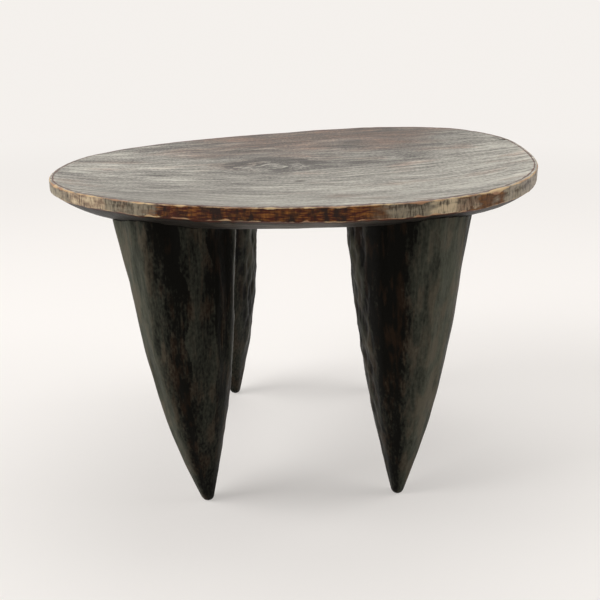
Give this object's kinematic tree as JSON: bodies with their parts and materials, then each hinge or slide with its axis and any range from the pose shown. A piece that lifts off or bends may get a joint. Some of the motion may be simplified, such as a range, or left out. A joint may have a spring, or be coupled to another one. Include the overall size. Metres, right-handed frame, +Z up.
{
  "type": "carved wooden stool",
  "caption": "Low carved hardwood stool: an oval, slightly dished seat slab on tapering tusk-shaped legs, for sitting on or as a small side table.",
  "frame": {"origin": "on the floor, under the middle of the seat's outline", "axes": "+X along the seat's length towards its higher, right end; +Y from the front legs to the rear legs; +Z up"},
  "size_m": [0.48, 0.4008, 0.3302],
  "materials": {
    "seat_wood": "satin, weathered grey-brown with worn golden edges",
    "leg_wood": "satin, blackened"
  },
  "bodies": {
    "root": {"seat": "seat_wood", "front_left_leg": "leg_wood", "front_right_leg": "leg_wood", "rear_left_leg": "leg_wood", "rear_right_leg": "leg_wood"}
  },
  "joints": []
}
